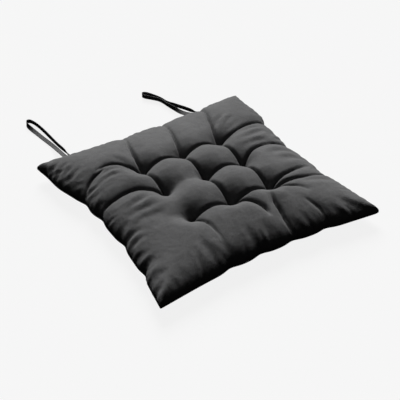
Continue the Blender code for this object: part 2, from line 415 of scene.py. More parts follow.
@dataclass(frozen=True)
class WovenTape:
    """Narrow charcoal tape with a herringbone of fine ribs and firm edges."""

    name: str = "charcoal_herringbone_tape"
    dark: tuple[float, float, float] = (0.022, 0.022, 0.023)
    light: tuple[float, float, float] = (0.100, 0.100, 0.101)
    rib: float = 0.0011
    slant: float = 7.2
    edge_from: float = 0.42
    edge_height: float = 0.5
    wear_noise: tuple[float, float] = (160.0, 3.0)
    roughness: tuple[float, float] = (0.75, 0.95)
    gloss: float = 0.2
    relief: tuple[float, float] = (0.6, 0.00025)

    def material(self) -> bpy.types.Material:
        """Wire the ribs on the tape's UV map: U runs along it in metres, V across from 0 to 1.

        Returns:
            The finished material.
        """
        w = Wiring(self.name)
        split = w.node("SeparateXYZ")
        w.feed(split.inputs["Vector"], w.node("UVMap", uv_map=TAPE_UV).outputs["UV"])
        along, across = split.outputs["X"], split.outputs["Y"]
        aside = w.sum("ABSOLUTE", w.sum("SUBTRACT", across, 0.5))
        phase = w.sum("ADD", w.sum("DIVIDE", along, self.rib), w.sum("MULTIPLY", aside, self.slant))
        rib = w.sum("ABSOLUTE", w.sum("SINE", w.sum("MULTIPLY", phase, math.pi)))
        edge = w.sum("MULTIPLY", w.sum("GREATER_THAN", aside, self.edge_from), self.edge_height)
        worn = w.noise(w.place(), *self.wear_noise)
        share = w.weighed((rib, 0.55), (worn, 0.45), (edge, -0.3))
        w.dress({
            "Base Color": w.blend(share, self.dark, self.light),
            "Roughness": w.range(worn, *self.roughness),
            "Specular IOR Level": self.gloss,
        })
        w.bump(w.sum("ADD", rib, edge), *self.relief)
        return w.material


@dataclass(frozen=True)
class SewingThread:
    """Black spun thread, with its twist and a slight polish."""

    name: str = "black_spun_thread"
    dark: tuple[float, float, float] = (0.012, 0.012, 0.013)
    light: tuple[float, float, float] = (0.045, 0.045, 0.046)
    twist_scale: float = 700.0
    uneven: float = 1.5
    roughness: tuple[float, float] = (0.45, 0.75)
    gloss: float = 0.35
    relief: tuple[float, float] = (0.5, 0.0001)

    def material(self) -> bpy.types.Material:
        """Wire the twist as fine slanted bands.

        Returns:
            The finished material.
        """
        w = Wiring(self.name)
        bands = w.node("TexWave", wave_type="BANDS", bands_direction="DIAGONAL")
        w.feed(bands.inputs["Vector"], w.place())
        bands.inputs["Scale"].default_value = self.twist_scale
        bands.inputs["Distortion"].default_value = self.uneven
        twist = bands.outputs["Fac"]
        w.dress({
            "Base Color": w.blend(twist, self.dark, self.light),
            "Roughness": w.range(twist, *self.roughness),
            "Specular IOR Level": self.gloss,
        })
        w.bump(twist, *self.relief)
        return w.material


@dataclass(frozen=True)
class PolyesterFibre:
    """White hollow fibre, combed into soft clumps."""

    name: str = "white_polyester_fibre"
    dark: tuple[float, float, float] = (0.60, 0.60, 0.58)
    light: tuple[float, float, float] = (0.88, 0.88, 0.87)
    clump_noise: tuple[float, float] = (60.0, 5.0)
    strand_scale: tuple[float, float, float] = (900.0, 120.0, 500.0)
    roughness: tuple[float, float] = (0.7, 0.95)
    sheen: float = 0.4
    relief: tuple[float, float] = (0.8, 0.0012)

    def material(self) -> bpy.types.Material:
        """Wire the fibres as a stretched noise over a coarse one.

        Returns:
            The finished material.
        """
        w = Wiring(self.name)
        place = w.place()
        clump = w.noise(place, *self.clump_noise)
        strand = w.noise(w.mapped(place, self.strand_scale), 1.0, 3.0)
        share = w.weighed((clump, 0.6), (strand, 0.4))
        w.dress({
            "Base Color": w.blend(share, self.dark, self.light),
            "Roughness": w.range(strand, *self.roughness),
            "Sheen Weight": self.sheen,
        })
        w.bump(share, *self.relief)
        return w.material


# ---------------------------------------------------------------- shape of the pad


@dataclass(frozen=True)
class Crease:
    """A fold in the top panel, along a smooth line seen from above.

    Depth is a share of the pad's rise there, and width is how far the lobes
    on its two sides take to round up. Both run from the first point to the last.
    Crisp is how much further it falls away close to the line, as a share of its
    depth, and soft is how far the line itself is rounded over. In a wrinkle or a
    gather, depth is in metres, width is a half-width, and crisp and soft aren't used.
    """

    route: tuple[Point, ...]
    depth: tuple[float, ...]
    width: tuple[float, ...]
    crisp: float = 0.85
    soft: float = 0.0002


def smooth_line(points: tuple[Point, ...], steps: int) -> Array:
    """Read points from a smooth curve through the given ones.

    Args:
        points: Points of any number of values each.
        steps: How many points to read for each stretch.

    Returns:
        The points, one to a row.
    """
    knots = [np.array(p, float) for p in points]
    knots = [2 * knots[0] - knots[1], *knots, 2 * knots[-1] - knots[-2]]
    read = []
    for before, start, end, after in zip(knots, knots[1:], knots[2:], knots[3:]):
        for k in range(steps):
            t = k / steps
            bend = 2 * before - 5 * start + 4 * end - after
            twist = 3 * start - before - 3 * end + after
            read.append(start + ((end - before) * t + bend * t**2 + twist * t**3) / 2)
    return np.array([*read, knots[-2]])


def near_line(x: Array, y: Array, line: Array) -> tuple[Array, Array]:
    """Measure points against a line of straight steps.

    Args:
        x: The points' x.
        y: The points' y.
        line: The line's points, one to a row.

    Returns:
        How far each point is from the line, and how far along it, from 0 to 1.
    """
    best = np.full(x.shape, np.inf)
    along = np.zeros(x.shape)
    lengths = np.linalg.norm(np.diff(line, axis=0), axis=1)
    total = lengths.sum()
    done = 0.0
    for (ax, ay), (bx, by), length in zip(line, line[1:], lengths):
        t = np.clip(((x - ax) * (bx - ax) + (y - ay) * (by - ay)) / length**2, 0, 1)
        away = np.hypot(x - ax - t * (bx - ax), y - ay - t * (by - ay))
        closer = away < best
        best = np.where(closer, away, best)
        along = np.where(closer, (done + t * length) / total, along)
        done += length
    return best, along


def spread(values: tuple[float, ...], along: Array) -> Array:
    """Read values given at even steps from 0 to 1."""
    return np.interp(along, np.linspace(0, 1, len(values)), values)


def rounding(away: Array) -> Array:
    """Give the depth of a fold: 1 on its line, and 0 from one width away, with round shoulders."""
    s = np.clip(away, 0, 1)
    return 1 - np.sqrt(s * (2 - s))


TUFT_PITCH = 0.073
TUFT_SHIFT_Y = -0.0075
TUFTS: dict[tuple[int, int], Point] = {
    (i, j): (i * TUFT_PITCH, j * TUFT_PITCH + TUFT_SHIFT_Y) for j in (-1, 0, 1) for i in (-1, 0, 1)
}

# Depth halfway, crispness and softness of the folds between tufts: of most, and
# of those that are softer.
TUFT_FOLD = (0.48, 0.85, 0.0002)
SOFT_FOLDS: dict[tuple[tuple[int, int], tuple[int, int]], tuple[float, float, float]] = {
    ((-1, -1), (-1, 0)): (0.36, 0.00, 0.0120),
    ((-1, 0), (0, 0)): (0.44, 0.10, 0.0050),
    ((0, 0), (1, 0)): (0.48, 0.60, 0.0008),
}


def between_tufts() -> list[Crease]:
    """Give the short folds that join each tuft to the next.

    Returns:
        The folds, all as deep at a tuft and less so halfway.
    """
    made = []
    for start in TUFTS:
        for step in ((1, 0), (0, 1)):
            end = (start[0] + step[0], start[1] + step[1])
            if end in TUFTS:
                deep, crisp, soft = SOFT_FOLDS.get((start, end), TUFT_FOLD)
                route = (TUFTS[start], TUFTS[end])
                made.append(Crease(route, (0.70, deep, 0.70), (0.037, 0.038, 0.037), crisp, soft))
    return made


# The deep folds that run towards the edge. Most start at a tuft.
EDGE_FOLDS: list[Crease] = [
    Crease((TUFTS[-1, 1], (-0.070, 0.091), (-0.062, 0.128), (-0.052, 0.160), (-0.046, 0.190)),
           (0.70, 0.50, 0.36, 0.18, 0.16), (0.040, 0.036, 0.030, 0.026, 0.020)),
    Crease((TUFTS[0, 1], (0.006, 0.085), (0.014, 0.112), (0.024, 0.150), (0.030, 0.190)),
           (0.70, 0.50, 0.34, 0.22, 0.20), (0.040, 0.036, 0.030, 0.026, 0.020)),
    Crease((TUFTS[1, 1], (0.078, 0.085), (0.092, 0.123), (0.104, 0.156), (0.112, 0.190)),
           (0.70, 0.50, 0.36, 0.28, 0.22), (0.040, 0.034, 0.028, 0.022, 0.018)),
    Crease((TUFTS[1, 1], (0.099, 0.069), (0.133, 0.080), (0.165, 0.088), (0.186, 0.090)),
           (0.70, 0.50, 0.46, 0.44, 0.44), (0.038, 0.030, 0.026, 0.022, 0.020)),
    Crease((TUFTS[1, 0], (0.098, 0.008), (0.126, 0.015), (0.153, 0.014), (0.180, 0.005)),
           (0.70, 0.46, 0.38, 0.32, 0.24), (0.038, 0.032, 0.028, 0.024, 0.018)),
    Crease((TUFTS[1, -1], (0.109, -0.073), (0.141, -0.068), (0.168, -0.070)),
           (0.70, 0.40, 0.28, 0.00), (0.038, 0.030, 0.024, 0.020)),
    Crease(((0.077, -0.086), (0.107, -0.090), (0.143, -0.094), (0.186, -0.093)),
           (0.60, 0.34, 0.24, 0.20), (0.024, 0.022, 0.020, 0.016)),
    Crease((TUFTS[1, -1], (0.096, -0.103), (0.109, -0.114), (0.118, -0.133)),
           (0.66, 0.26, 0.14, 0.00), (0.028, 0.022, 0.018, 0.016)),
    Crease((TUFTS[0, -1], (0.019, -0.094), (0.028, -0.110), (0.032, -0.128), (0.030, -0.148)),
           (0.70, 0.54, 0.48, 0.34, 0.00), (0.038, 0.030, 0.024, 0.020, 0.018)),
    Crease(((0.060, -0.103), (0.054, -0.120), (0.052, -0.138), (0.049, -0.159), (0.048, -0.186)),
           (0.06, 0.44, 0.58, 0.60, 0.58), (0.022, 0.026, 0.026, 0.024, 0.022)),
    Crease(((0.098, -0.140), (0.106, -0.156), (0.109, -0.170), (0.108, -0.188)),
           (0.04, 0.20, 0.24, 0.20), (0.014, 0.018, 0.020, 0.018)),
    Crease((TUFTS[-1, -1], (-0.064, -0.104), (-0.061, -0.131), (-0.062, -0.158)),
           (0.70, 0.30, 0.16, 0.00), (0.038, 0.034, 0.028, 0.024)),
    Crease((TUFTS[-1, -1], (-0.099, -0.071), (-0.127, -0.060), (-0.160, -0.054), (-0.184, -0.051)),
           (0.70, 0.30, 0.16, 0.12, 0.18), (0.038, 0.034, 0.030, 0.024, 0.018), 0.15, 0.0050),
    Crease((TUFTS[-1, 1], (-0.088, 0.078), (-0.100, 0.094), (-0.118, 0.104), (-0.138, 0.103)),
           (0.70, 0.46, 0.36, 0.30, 0.10), (0.038, 0.032, 0.028, 0.024, 0.016)),
    Crease(((-0.128, 0.096), (-0.145, 0.095), (-0.158, 0.089), (-0.171, 0.078), (-0.182, 0.070)),
           (0.10, 0.38, 0.50, 0.54, 0.50), (0.020, 0.026, 0.028, 0.026, 0.022)),
    Crease((TUFTS[-1, 0], (-0.093, 0.008), (-0.108, 0.019), (-0.125, 0.024), (-0.145, 0.025),
            (-0.162, 0.025), (-0.182, 0.022)),
           (0.70, 0.50, 0.46, 0.44, 0.44, 0.46, 0.44), (0.038, 0.032, 0.030, 0.028, 0.026, 0.024, 0.020)),
]

# Small wrinkles that do not reach a tuft: their depth, their half-width and their line.
WRINKLES: list[Crease] = [
    Crease(route, (0.0, depth, depth, 0.0), (width,) * 2)
    for depth, width, route in (
        (0.0010, 0.0045, ((-0.104, 0.122), (-0.092, 0.096), (-0.086, 0.076))),
        (0.0016, 0.0050, ((-0.142, 0.084), (-0.121, 0.087), (-0.105, 0.080))),
        (0.0014, 0.0045, ((-0.150, 0.070), (-0.130, 0.074), (-0.108, 0.066))),
        (0.0015, 0.0050, ((-0.159, 0.036), (-0.168, 0.034), (-0.178, 0.028))),
        (0.0018, 0.0060, ((-0.152, -0.013), (-0.126, -0.011), (-0.100, -0.008))),
        (0.0022, 0.0070, ((-0.158, -0.024), (-0.133, -0.029), (-0.100, -0.038))),
        (0.0018, 0.0065, ((-0.152, -0.040), (-0.127, -0.048), (-0.098, -0.057))),
        (0.0013, 0.0060, ((-0.188, -0.044), (-0.169, -0.037), (-0.150, -0.032))),
        (0.0013, 0.0060, ((-0.188, -0.064), (-0.169, -0.061), (-0.150, -0.060))),
        (0.0012, 0.0055, ((-0.184, -0.073), (-0.168, -0.077), (-0.148, -0.079))),
        (0.0012, 0.0055, ((-0.186, -0.101), (-0.165, -0.112))),
        (0.0022, 0.0060, ((-0.194, -0.129), (-0.181, -0.127), (-0.162, -0.126))),
        (0.0018, 0.0060, ((-0.196, -0.163), (-0.179, -0.160), (-0.160, -0.156))),
        (0.0016, 0.0050, ((-0.198, -0.186), (-0.184, -0.174), (-0.170, -0.166))),
        (0.0018, 0.0050, ((-0.200, 0.160), (-0.194, 0.178), (-0.178, 0.192))),
        (0.0018, 0.0050, ((-0.190, 0.138), (-0.178, 0.149), (-0.164, 0.160))),
        (0.0016, 0.0050, ((-0.186, 0.116), (-0.170, 0.124), (-0.152, 0.130))),
        (0.0013, 0.0045, ((-0.196, 0.150), (-0.184, 0.164), (-0.172, 0.172))),
        (0.0018, 0.0045, ((-0.188, 0.126), (-0.174, 0.136), (-0.160, 0.142))),
        (0.0026, 0.0055, ((0.090, 0.080), (0.116, 0.101), (0.140, 0.112))),
        (0.0024, 0.0055, ((0.092, 0.070), (0.114, 0.086), (0.145, 0.104))),
        (0.0020, 0.0050, ((0.084, 0.090), (0.104, 0.112), (0.124, 0.124))),
        (0.0018, 0.0055, ((0.086, 0.035), (0.121, 0.043), (0.154, 0.054), (0.172, 0.046))),
        (0.0016, 0.0055, ((0.084, 0.020), (0.119, 0.027), (0.150, 0.024))),
        (0.0014, 0.0050, ((0.110, 0.058), (0.140, 0.066), (0.172, 0.068))),
        (0.0016, 0.0060, ((0.110, -0.020), (0.140, -0.014), (0.176, -0.022))),
        (0.0014, 0.0060, ((0.118, -0.044), (0.146, -0.040), (0.178, -0.046))),
        (0.0014, 0.0060, ((0.110, -0.104), (0.140, -0.108), (0.182, -0.118))),
        (0.0018, 0.0060, ((-0.090, -0.132), (-0.091, -0.156), (-0.092, -0.184))),
        (0.0014, 0.0060, ((-0.060, -0.146), (-0.064, -0.166), (-0.067, -0.186))),
        (0.0012, 0.0060, ((-0.014, -0.140), (-0.018, -0.160), (-0.024, -0.186))),
        (0.0012, 0.0060, ((0.010, -0.146), (0.012, -0.166), (0.012, -0.186))),
        (0.0018, 0.0060, ((0.148, -0.160), (0.154, -0.176), (0.160, -0.192))),
    )
]


@dataclass
class Gathers:
    """Fine random gathers along the seam, fanned out at the corners."""

    seed: int = 7
    spacing: tuple[float, float] = (0.006, 0.015)
    length: tuple[float, float] = (0.012, 0.042)
    depth: tuple[float, float] = (0.0002, 0.0008)
    width: tuple[float, float] = (0.0028, 0.0050)
    lean: float = 0.35
    fan: float = 0.5
    bow: float = 0.06
    last: float = 0.97

    def creases(self, shape: "PadShape") -> list[Crease]:
        """Draw the gathers of all four edges.

        Args:
            shape: The pad whose edges they leave.

        Returns:
            The gathers, each from the seam inwards.
        """
        draw = np.random.default_rng(self.seed)
        made = []
        for edge in range(4):
            inwards = Vector((0, 1)) if edge % 2 == 0 else Vector((1, 0))
            aside = Vector((inwards.y, inwards.x))
            sign = 1 if edge < 2 else -1
            along = -self.last
            while along < self.last:
                u, v = (along, -sign) if edge % 2 == 0 else (-sign, along)
                start = tuple(float(c) for c in shape.plan(np.array(u), np.array(v)))
                lean = self.lean * draw.normal() - along * self.fan
                way = (inwards * sign + aside * lean).normalized()
                reach = draw.uniform(*self.length)
                end = Vector(start) + way * reach
                bend = Vector(start) + way * reach / 2 + aside * draw.normal() * reach * self.bow
                deep = draw.uniform(*self.depth)
                wide = draw.uniform(*self.width)
                made.append(Crease((start, tuple(bend), tuple(end)), (deep, deep, 0.0), (wide, wide)))
                along += draw.uniform(*self.spacing) / shape.half
        return made


@dataclass
class PadShape:
    """Where the pad's surface is. u and v run from -1 to 1 across and front to back.

    Each edge is pulled in along its middle, notched where folds meet it and
    swollen between them. A swell is its middle, its amount and its half-length.
    Unpull roughly undoes the pull near the tufts, as a share of u and of v cubed.
    Pits, folds and the deepest place are shares of the pad's rise.
    """

    half: float = 0.200
    seam_z: float = 0.0175
    top_rise: float = 0.0470
    bottom_rise: float = 0.0270
    squareness: float = 2.1
    edge_power: float = 0.50
    corner_fullness: float = 2.5
    full_lobe: Point = (0.135, 0.140)
    full_lobe_reach: float = 0.045
    full_lobe_gain: float = 0.12
    soft_fold: float = 0.0006
    slope_share: float = 0.42
    pinch_width: float = 0.0060
    tuft_pit: float = 0.30
    pit_width: float = 0.018
    deepest: float = 0.86
    bottom_pit: float = 0.80
    bottom_pit_width: float = 0.034
    bottom_fold: float = 0.42
    bottom_fold_width: float = 0.022
    bottom_deepest: float = 0.76
    pulls: dict[str, float] = field(
        default_factory=lambda: {"left": 0.024, "right": 0.020, "front": 0.018, "back": 0.012}
    )
    unpull: tuple[float, float] = (0.11, 0.09)
    notches: dict[str, tuple[float, ...]] = field(
        default_factory=lambda: {
            "left": (0.072, 0.023, -0.051, -0.128),
            "right": (0.090, 0.006, -0.082),
            "front": (0.048, 0.108, -0.010, -0.066),
            "back": (-0.046, 0.030, 0.106),
        }
    )
    notch_depth: float = 0.0045
    notch_width: float = 0.014
    notch_level: float = 0.35
    notch_reach: int = 5
    corner_hold: int = 8
    swells: dict[str, tuple[float, float, float]] = field(
        default_factory=lambda: {"right": (0.120, 0.0100, 0.045), "left": (0.138, 0.0060, 0.034)}
    )
    line_samples: int = 4001
    edge_band: float = 0.09
    row_band: float = 0.035
    fold_steps: int = 6
    wrinkle_steps: int = 4
    wrinkle_margin: float = 0.02
    wrinkle_lip: float = 0.5

    def plan(self, u: Array, v: Array) -> tuple[Array, Array]:
        """Give points on the pad seen from above, with its edges drawn in.

        Args:
            u: Their places across the pad.
            v: Their places from front to back.

        Returns:
            Their x and y.
        """
        pull_x = np.where(u < 0, self.pulls["left"], self.pulls["right"])
        pull_y = np.where(v < 0, self.pulls["front"], self.pulls["back"])
        x = self.half * u - pull_x * u**3 * (1 - v * v)
        y = self.half * v - pull_y * v**3 * (1 - u * u)
        notch_x = np.where(u < 0, self.notch("left", y), self.notch("right", y))
        notch_y = np.where(v < 0, self.notch("front", x), self.notch("back", x))
        moved_x = x - notch_x * u * np.abs(u) ** self.notch_reach * (1 - v**self.corner_hold)
        moved_y = y - notch_y * v * np.abs(v) ** self.notch_reach * (1 - u**self.corner_hold)
        return moved_x, moved_y

    def notch(self, edge: str, place: Array) -> Array:
        """Give how far the folds draw an edge in; it swells between them.

        Args:
            edge: The edge's name.
            place: Places along it.

        Returns:
            The distance inwards at each.
        """
        drawn = sum(np.exp(-(((place - at) / self.notch_width) ** 2)) for at in self.notches[edge])
        moved = self.notch_depth * (drawn - self.notch_level)
        if edge in self.swells:
            middle, amount, width = self.swells[edge]
            moved = moved - amount * np.exp(-(((place - middle) / width) ** 2))
        return moved

    def crown(self, u: Array, v: Array) -> Array:
        """Give the pad's rise before any fold.

        Args:
            u: Places across the pad.
            v: Places from front to back.

        Returns:
            The rise, as a share of its rise in the middle.
        """
        across = np.maximum(1 - np.abs(u) ** self.squareness, LEAST_SHARE)
        along = np.maximum(1 - np.abs(v) ** self.squareness, LEAST_SHARE)
        k = self.corner_fullness
        share = (across**-k + along**-k - 1) ** (-1 / k)
        return share**self.edge_power

    def surface(self, u: Array, v: Array, side: Side) -> tuple[Array, Array, Array]:
        """Give the outer face of one panel.

        Args:
            u: Places across the pad, as a grid.
            v: Places from front to back, as a grid.
            side: Which panel.

        Returns:
            x, y and z of the grid's points.
        """
        x, y = self.plan(u, v)
        if side is Side.TOP:
            return self.wrinkled(x, y, self.top_height(u, v))
        return x, y, self.bottom_height(u, v)

    def grid(self, cells: int, edges: float, rows: float) -> tuple[Array, Array]:
        """Give the crossings of a grid, closer together at the tufts and the edges.

        Args:
            cells: How many cells there are each way.
            edges: How much they crowd at the edges.
            rows: How much they crowd at the rows of tufts.

        Returns:
            Their u and v.
        """
        across = self.lines(cells, 0.0, edges, rows)
        lengthwise = self.lines(cells, TUFT_SHIFT_Y, edges, rows)
        return np.meshgrid(across, lengthwise, indexing="ij")

    def lines(self, cells: int, shift: float, edges: float, crowding: float) -> Array:
        """Space the grid's lines one way, with one of them through each row of tufts.

        Args:
            cells: How many cells there are.
            shift: How far the middle row is from the pad's middle.
            edges: How much the lines crowd at the edges.
            crowding: How much they crowd at the rows.

        Returns:
            The lines' places, from -1 to 1.
        """
        rows = [(step * TUFT_PITCH + shift) / self.half for step in (-1, 0, 1)]
        rows = [row + self.unpull[0] * row**3 for row in rows]
        fine = np.linspace(-1, 1, self.line_samples)
        weight = 1 + edges * np.exp(-(1 - np.abs(fine)) / self.edge_band)
        for row in rows:
            weight += crowding * np.exp(-(((fine - row) / self.row_band) ** 2))
        count = np.concatenate([[0], np.cumsum((weight[1:] + weight[:-1]) / 2)])
        line = np.interp(np.linspace(0, count[-1], cells + 1), count, fine)
        for row in rows:
            line[np.argmin(np.abs(line - row))] = row
        return line

    def top_height(self, u: Array, v: Array) -> Array:
        """Give the top panel's height, before its wrinkles.

        Each fold is a gentle slope with a tight pinch in its middle. Folds that run
        the same way join, and those that cross take shares of what the others leave.

        Args:
            u: Places across the pad.
            v: Places from front to back.

        Returns:
            z at each.
        """
        x, y = self.plan(u, v)
        lobe = (x - self.full_lobe[0]) ** 2 + (y - self.full_lobe[1]) ** 2
        rise = self.top_rise * self.crown(u, v)
        rise = rise * (1 + self.full_lobe_gain * np.exp(-lobe / self.full_lobe_reach**2))
        across, lengthwise, pinch = np.zeros((3, *x.shape))
        for fold in between_tufts() + EDGE_FOLDS:
            line = smooth_line(fold.route, self.fold_steps)
            away, along = near_line(x, y, line)
            away = np.sqrt(away**2 + fold.soft**2)
            deep = spread(fold.depth, along)
            slope = self.slope_share * deep * np.clip(1 - away / spread(fold.width, along), 0, 1) ** 2
            run = np.abs(line[-1] - line[0])
            if run[0] > run[1]:
                across += slope**3
            else:
                lengthwise += slope**3
            pinch += (fold.crisp * deep * rounding(away / self.pinch_width)) ** 3
        left = (1 - np.cbrt(across)) * (1 - np.cbrt(lengthwise)) * (1 - np.cbrt(pinch))
        for tx, ty in TUFTS.values():
            away = np.sqrt((x - tx) ** 2 + (y - ty) ** 2 + self.soft_fold**2)
            left *= 1 - self.tuft_pit * rounding(away / self.pit_width)
        return self.seam_z + rise * np.maximum(left, 1 - self.deepest)

    def bottom_height(self, u: Array, v: Array) -> Array:
        """Give the bottom panel's height: tufted too, and flat where it lies.

        Args:
            u: Places across the pad.
            v: Places from front to back.

        Returns:
            z at each.
        """
        x, y = self.plan(u, v)
        rise = self.bottom_rise * self.crown(u, v)
        total = np.zeros(x.shape)
        for tx, ty in TUFTS.values():
            away = np.sqrt((x - tx) ** 2 + (y - ty) ** 2 + self.soft_fold**2)
            total += (self.bottom_pit * rounding(away / self.bottom_pit_width)) ** 3
        for crease in between_tufts():
            away, _ = near_line(x, y, smooth_line(crease.route, self.fold_steps))
            total += (self.bottom_fold * rounding(away / self.bottom_fold_width)) ** 3
        drawn = np.clip(total ** (1 / 3), 0, self.bottom_deepest)
        return np.maximum(self.seam_z - rise * (1 - drawn), 0.0)

    def foot(self, at: Point, side: Side) -> float:
        """Give the surface's height where a tuft holds it.

        Args:
            at: The tuft's x and y.
            side: Which panel.

        Returns:
            z there.
        """
        u, v = at[0] / self.half, at[1] / self.half
        u, v = u + self.unpull[0] * u**3, v + self.unpull[1] * v**3
        height = self.top_height if side is Side.TOP else self.bottom_height
        return float(height(np.array([[u]]), np.array([[v]]))[0, 0])

    def wrinkled(self, x: Array, y: Array, z: Array) -> tuple[Array, Array, Array]:
        """Press the wrinkles and gathers into the surface, along its normals.

        Args:
            x: x of its points, as a grid.
            y: Their y.
            z: Their z.

        Returns:
            x, y and z of the pressed surface.
        """
        place = np.stack([x, y, z], -1)
        normal = np.cross(np.gradient(place, axis=0), np.gradient(place, axis=1))
        normal /= np.linalg.norm(normal, axis=-1, keepdims=True)
        press = np.zeros(x.shape)
        for crease in WRINKLES + Gathers().creases(self):
            line = smooth_line(crease.route, self.wrinkle_steps)
            low, high = line.min(0) - self.wrinkle_margin, line.max(0) + self.wrinkle_margin
            near = (x > low[0]) & (x < high[0]) & (y > low[1]) & (y < high[1])
            away, along = near_line(x[near], y[near], line)
            wide = spread(crease.width, along)
            lip = np.exp(-(((away - 2 * wide) / wide) ** 2))
            groove = np.exp(-((away / wide) ** 2)) - self.wrinkle_lip * lip
            press[near] += spread(crease.depth, along) * groove
        moved = place - normal * press[..., None]
        return moved[..., 0], moved[..., 1], moved[..., 2]


def add_piece(name: str, bm: bmesh.types.BMesh, finish: bpy.types.Material) -> bpy.types.Object:
    """Make a piece of the pad's own, at the origin, from a mesh in the making.

    Args:
        name: The piece's name.
        bm: Its mesh, which is used up.
        finish: Its material.

    Returns:
        The new object.
    """
    mesh = bpy.data.meshes.new(name)
    bm.to_mesh(mesh)
    bm.free()
    mesh.shade_smooth()
    mesh.materials.append(finish)
    piece = bpy.data.objects.new(name, mesh)
    bpy.context.scene.collection.objects.link(piece)
    return piece


def stand_for(piece: bpy.types.Object, body: str, *nodes: str) -> None:
    """Show a piece in place of CAD nodes, and report it.

    Args:
        piece: The piece.
        body: The body that it moves with.
        nodes: The nodes' names.
    """
    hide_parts(*nodes)
    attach(piece, body)
    log.info("%s on %s for %s", piece.name, body, ", ".join(nodes))


def add_thread(
    name: str, strands: list[Array], radius: float, finish: bpy.types.Material
) -> bpy.types.Object:
    """Make a piece of sewing thread from round strands.

    Args:
        name: The piece's name.
        strands: The line that each strand follows, with its points one to a row.
        radius: The strands' radius.
        finish: The thread's material.

    Returns:
        The new object, made a mesh.
    """
    bpy.ops.object.select_all(action="DESELECT")
    bpy.ops.curve.primitive_bezier_curve_add(location=(0.0, 0.0, 0.0))
    piece = bpy.context.object
    piece.name = name
    curve = piece.data
    curve.splines.clear()
    for points in strands:
        spline = curve.splines.new("POLY")
        spline.points.add(len(points) - 1)
        for knot, place in zip(spline.points, points):
            knot.co = (*place, 1.0)
    curve.bevel_depth = radius
    curve.bevel_resolution = 1
    curve.use_fill_caps = True
    bpy.ops.object.convert(target="MESH")
    bpy.ops.object.mode_set(mode="EDIT")
    bpy.ops.mesh.select_all(action="SELECT")
    bpy.ops.mesh.remove_doubles(threshold=WELD)
    bpy.ops.mesh.normals_make_consistent(inside=False)
    bpy.ops.object.mode_set(mode="OBJECT")
    bpy.ops.object.shade_smooth()
    piece.data.materials.clear()
    piece.data.materials.append(finish)
    return piece


@dataclass
class Covers:
    """The two fabric panels, cut alike and sewn together at their edges."""

    shape: PadShape
    cells: dict[Side, int] = field(default_factory=lambda: {Side.TOP: 220, Side.BOTTOM: 120})
    edge_crowding: float = 1.2
    row_crowding: float = 1.3
    fabric: float = 0.0007
    seam_gap: float = 0.0004
    lip_rise: float = 0.0007
    lip_inset: float = 0.010

    def build(self, finish: bpy.types.Material) -> None:
        """Make both panels.

        Args:
            finish: The cover's fabric.
        """
        for side in Side:
            name = f"{side.name.lower()}_panel"
            piece = add_piece(name, self.panel(side), finish)
            shell = piece.modifiers.new("fabric", "SOLIDIFY")
            shell.thickness = self.fabric
            shell.offset = -1.0
            bpy.context.view_layer.objects.active = piece
            bpy.ops.object.modifier_apply(modifier=shell.name)
            stand_for(piece, PAD_BODY, f"cover_{side.name.lower()}")

    def panel(self, side: Side) -> bmesh.types.BMesh:
        """Shape one panel as an open sheet, with its seam allowance turned in.

        Args:
            side: Which panel.

        Returns:
            Its mesh, without thickness.
        """
        u, v = self.shape.grid(self.cells[side], self.edge_crowding, self.row_crowding)
        x, y, z = self.shape.surface(u, v, side)
        z = np.maximum(z + side.value * self.lip_rise, 0.0)
        bm = bmesh.new()
        uv_layer = bm.loops.layers.uv.new(CLOTH_UV)
        verts = [bm.verts.new(place) for place in zip(x.ravel(), y.ravel(), z.ravel())]
        flat = {vert: ((a + 1) / 2, (b + 1) / 2) for vert, a, b in zip(verts, u.ravel(), v.ravel())}
        n = u.shape[0]
        for i in range(n - 1):
            for j in range(n - 1):
                ring = [verts[i * n + j], verts[(i + 1) * n + j]]
                ring += [verts[(i + 1) * n + j + 1], verts[i * n + j + 1]]
                bm.faces.new(ring[:: side.value])
        self.turn_in(bm, flat, side)
        for face in bm.faces:
            for loop in face.loops:
                loop[uv_layer].uv = flat[loop.vert]
        bm.normal_update()
        return bm

    def turn_in(
        self, bm: bmesh.types.BMesh, flat: dict[bmesh.types.BMVert, Point], side: Side
    ) -> None:
        """Add the seam allowance, edge by edge, so that it comes in the same order in every run.

        Args:
            bm: The panel's mesh in the making.
            flat: Where each vertex lies on the flat cloth, which gains the new ones.
            side: Which panel.
        """
        keep = 1 - self.lip_inset
        level = self.shape.seam_z + side.value * self.seam_gap
        rim = [edge for edge in bm.edges if edge.is_boundary]
        inner = {}
        for vert in (vert for edge in rim for vert in edge.verts):
            if vert not in inner:
                inner[vert] = bm.verts.new((vert.co.x * keep, vert.co.y * keep, level))
                flat[inner[vert]] = flat[vert]
        for edge in rim:
            loop = edge.link_loops[0]
            start, end = loop.vert, loop.link_loop_next.vert
            bm.faces.new((end, start, inner[start], inner[end]))


